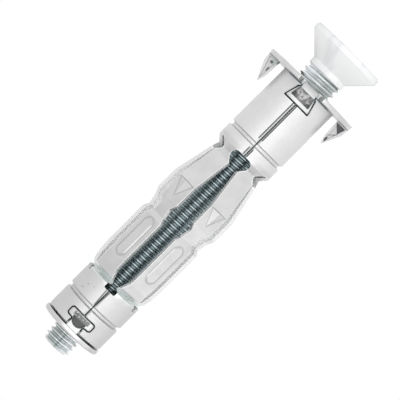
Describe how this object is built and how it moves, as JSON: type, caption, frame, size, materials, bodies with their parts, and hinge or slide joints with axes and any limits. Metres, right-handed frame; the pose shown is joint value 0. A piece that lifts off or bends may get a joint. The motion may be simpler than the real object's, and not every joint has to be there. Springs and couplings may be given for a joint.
{
  "type": "metal hollow wall anchor",
  "caption": "Expanding metal anchor for hollow walls: a slotted rolled sleeve between a clawed collar and a threaded end cap, on a countersunk cross-recess screw.",
  "frame": {"origin": "centre of the flat of the screw head, on which the anchor stands", "axes": "+Z along the screw from its head to its tip; the sleeve's seam faces -Y; the collar's two claws lie towards +X and -X"},
  "size_m": [0.0206, 0.0196, 0.0772],
  "materials": {
    "screw": "bright zinc plated",
    "sleeve": "satin zinc plated",
    "collar": "satin zinc plated",
    "end_cap": "satin zinc plated"
  },
  "bodies": {
    "anchor": {"sleeve": "sleeve", "collar": "collar", "end_cap": "end_cap"},
    "screw": {"screw": "screw"}
  },
  "joints": [
    {"name": "screw_turn", "type": "hinge", "parent": "anchor", "child": "screw", "pos_m": [0, 0, 0], "axis": [0, 0, 1], "range_deg": [-3180, 1650]}
  ]
}
